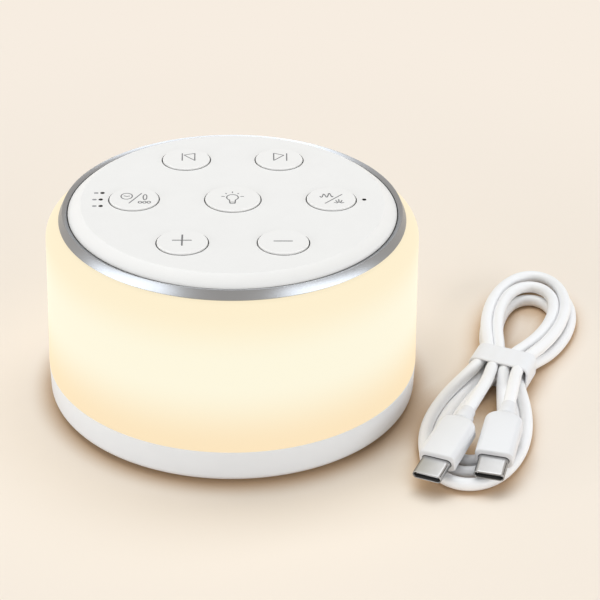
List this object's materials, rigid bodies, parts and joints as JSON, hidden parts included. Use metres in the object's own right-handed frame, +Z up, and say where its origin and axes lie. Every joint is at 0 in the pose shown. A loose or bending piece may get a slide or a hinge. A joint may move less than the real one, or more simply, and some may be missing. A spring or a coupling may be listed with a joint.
{
  "type": "white noise sound machine",
  "caption": "Round white noise sound machine with a glowing shade, push buttons on top, a speaker in its base and a coiled USB-C cable.",
  "frame": {"origin": "on the surface it stands on, under the middle of the machine", "axes": "+Z up along the machine's axis, front towards -Y, USB-C socket towards +Y, coiled cable on the +X side"},
  "size_m": [0.1594, 0.1141, 0.0591],
  "materials": {
    "base_plastic": "satin white moulded",
    "silicone": "matte",
    "screw_steel": "zinc plated",
    "glowing_shade": "translucent, lit warm from inside",
    "ring_metal": "bright, finely brushed",
    "plate_plastic": "fine satin white",
    "button_plastic": "fine satin white",
    "plunger_plastic": "moulded",
    "switch_steel": "plain",
    "circuit_board": "solder mask",
    "chip_plastic": "moulded",
    "led_package": "phosphor window",
    "light_guide": "clear",
    "core_plastic": "matte white reflector",
    "strip_film": "flexible board",
    "cell_wrap": "shrink wrap",
    "holder_plastic": "moulded",
    "speaker_steel": "black pressed steel",
    "pole_steel": "zinc plated",
    "magnet": "ferrite",
    "cone_paper": "pressed paper",
    "surround_rubber": "matte",
    "spider_cloth": "resin cloth",
    "gasket_foam": "foam",
    "mesh_cloth": "fine mesh",
    "socket_steel": "plain",
    "connector_plastic": "moulded",
    "ribbon_film": "flat cable",
    "lead_red": "wire jacket",
    "lead_black": "wire jacket",
    "lead_white": "wire jacket",
    "cable_jacket": "smooth satin jacket",
    "plug_plastic": "smooth moulded",
    "plug_steel": "nickel plated",
    "tie_silicone": "satin"
  },
  "bodies": {
    "machine": {"base_housing": "base_plastic", "feet": "silicone", "base_screws": "screw_steel", "diffuser_shell": "glowing_shade", "trim_ring": "ring_metal", "top_plate": "plate_plastic", "top_plate_screws": "screw_steel", "tact_switches": "switch_steel", "control_board": "circuit_board", "control_board_screws": "screw_steel", "control_chip": "chip_plastic", "indicator_leds": "led_package", "indicator_light_guides": "light_guide", "inner_core": "core_plastic", "light_strip": "strip_film", "light_leds": "led_package", "battery_cell": "cell_wrap", "battery_holder": "holder_plastic", "battery_holder_screws": "screw_steel", "speaker_frame": "speaker_steel", "speaker_pole_plates": "pole_steel", "speaker_magnet": "magnet", "speaker_surround": "surround_rubber", "speaker_spider": "spider_cloth", "speaker_gasket": "gasket_foam", "speaker_screws": "screw_steel", "grille_mesh": "mesh_cloth", "main_board": "circuit_board", "main_board_screws": "screw_steel", "main_board_chips": "chip_plastic", "usb_c_socket": "socket_steel", "lead_connectors": "connector_plastic", "ribbon_cable": "ribbon_film", "battery_leads": "lead_red", "speaker_leads": "lead_black", "light_strip_leads": "lead_white", "cable_hank": "cable_jacket", "cable_lead_a": "cable_jacket", "cable_lead_b": "cable_jacket", "plug_a_body": "plug_plastic", "plug_a_shell": "plug_steel", "plug_b_body": "plug_plastic", "plug_b_shell": "plug_steel", "cable_tie": "tie_silicone"},
    "button_light": {"button_light": "button_plastic", "plunger_light": "plunger_plastic"},
    "button_previous": {"button_previous": "button_plastic", "plunger_previous": "plunger_plastic"},
    "button_next": {"button_next": "button_plastic", "plunger_next": "plunger_plastic"},
    "button_timer": {"button_timer": "button_plastic", "plunger_timer": "plunger_plastic"},
    "button_sound": {"button_sound": "button_plastic", "plunger_sound": "plunger_plastic"},
    "button_volume_up": {"button_volume_up": "button_plastic", "plunger_volume_up": "plunger_plastic"},
    "button_volume_down": {"button_volume_down": "button_plastic", "plunger_volume_down": "plunger_plastic"},
    "cone": {"speaker_cone": "cone_paper"}
  },
  "joints": [
    {"name": "press_light", "type": "slide", "parent": "machine", "child": "button_light", "axis": [0, 0, -1], "range_m": [0, 0.0005], "stiffness_N_per_m": 600},
    {"name": "press_previous", "type": "slide", "parent": "machine", "child": "button_previous", "axis": [0, 0, -1], "range_m": [0, 0.0005], "stiffness_N_per_m": 600},
    {"name": "press_next", "type": "slide", "parent": "machine", "child": "button_next", "axis": [0, 0, -1], "range_m": [0, 0.0005], "stiffness_N_per_m": 600},
    {"name": "press_timer", "type": "slide", "parent": "machine", "child": "button_timer", "axis": [0, 0, -1], "range_m": [0, 0.0005], "stiffness_N_per_m": 600},
    {"name": "press_sound", "type": "slide", "parent": "machine", "child": "button_sound", "axis": [0, 0, -1], "range_m": [0, 0.0005], "stiffness_N_per_m": 600},
    {"name": "press_volume_up", "type": "slide", "parent": "machine", "child": "button_volume_up", "axis": [0, 0, -1], "range_m": [0, 0.0005], "stiffness_N_per_m": 600},
    {"name": "press_volume_down", "type": "slide", "parent": "machine", "child": "button_volume_down", "axis": [0, 0, -1], "range_m": [0, 0.0005], "stiffness_N_per_m": 600},
    {"name": "cone_travel", "type": "slide", "parent": "machine", "child": "cone", "axis": [0, 0, 1], "range_m": [-0.0005, 0.0005], "stiffness_N_per_m": 1500, "deforming": ["speaker_surround", "speaker_spider"]}
  ]
}
